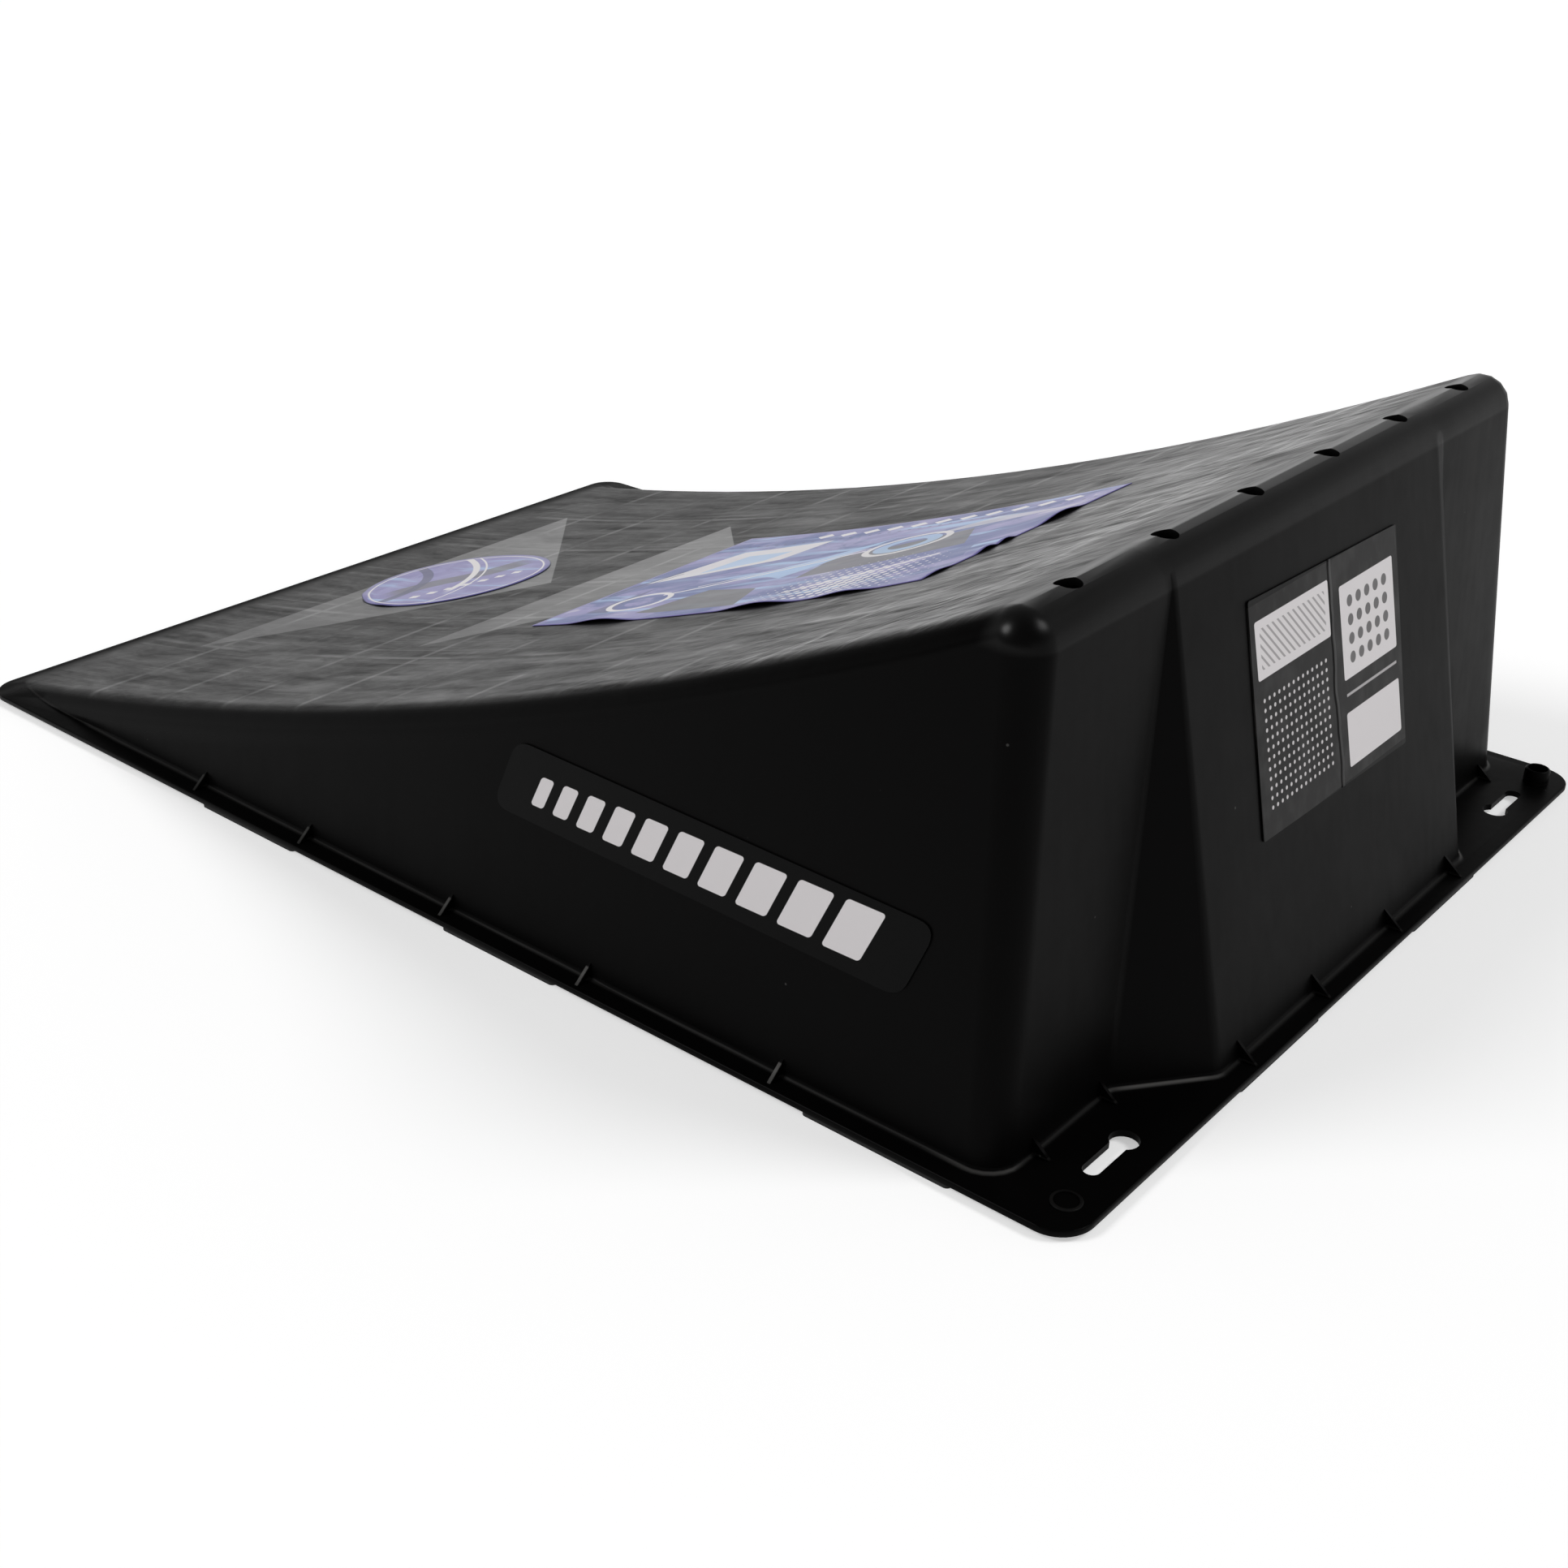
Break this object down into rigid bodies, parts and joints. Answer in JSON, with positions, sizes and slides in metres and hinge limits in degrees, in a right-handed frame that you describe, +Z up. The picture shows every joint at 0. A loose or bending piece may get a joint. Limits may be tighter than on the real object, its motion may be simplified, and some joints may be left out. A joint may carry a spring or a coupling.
{
  "type": "launch ramp",
  "caption": "Small moulded launch ramp with a curved riding deck, open underneath, for scooters and boards.",
  "frame": {"origin": "centre of the footprint, on the floor under the grip pads", "axes": "+X from the toe up to the lip, +Z up; -Y is the side with the ring and the side sticker"},
  "size_m": [0.574, 0.4, 0.1759],
  "materials": {
    "shell_plastic": "black injection-moulded plastic, satin, lightly scuffed on the deck",
    "grip_rubber": "matte black rubber",
    "deck_round_label": "printed film in violet and blue, satin",
    "deck_banner_label": "printed film in pale blue and violet, satin, lifting at two edges",
    "side_label": "die-cut film, black with pale bars",
    "rear_label": "printed film, dark grey with white panels"
  },
  "bodies": {
    "root": {"ramp_shell": "shell_plastic", "grip_pad_near_toe": "grip_rubber", "grip_pad_near_mid": "grip_rubber", "grip_pad_near_rear": "grip_rubber", "grip_pad_rear_near": "grip_rubber", "grip_pad_far_toe": "grip_rubber", "grip_pad_far_mid": "grip_rubber", "grip_pad_far_rear": "grip_rubber", "grip_pad_rear_far": "grip_rubber", "deck_round_label": "deck_round_label", "deck_banner_label": "deck_banner_label", "side_label": "side_label", "rear_label": "rear_label"}
  },
  "joints": []
}
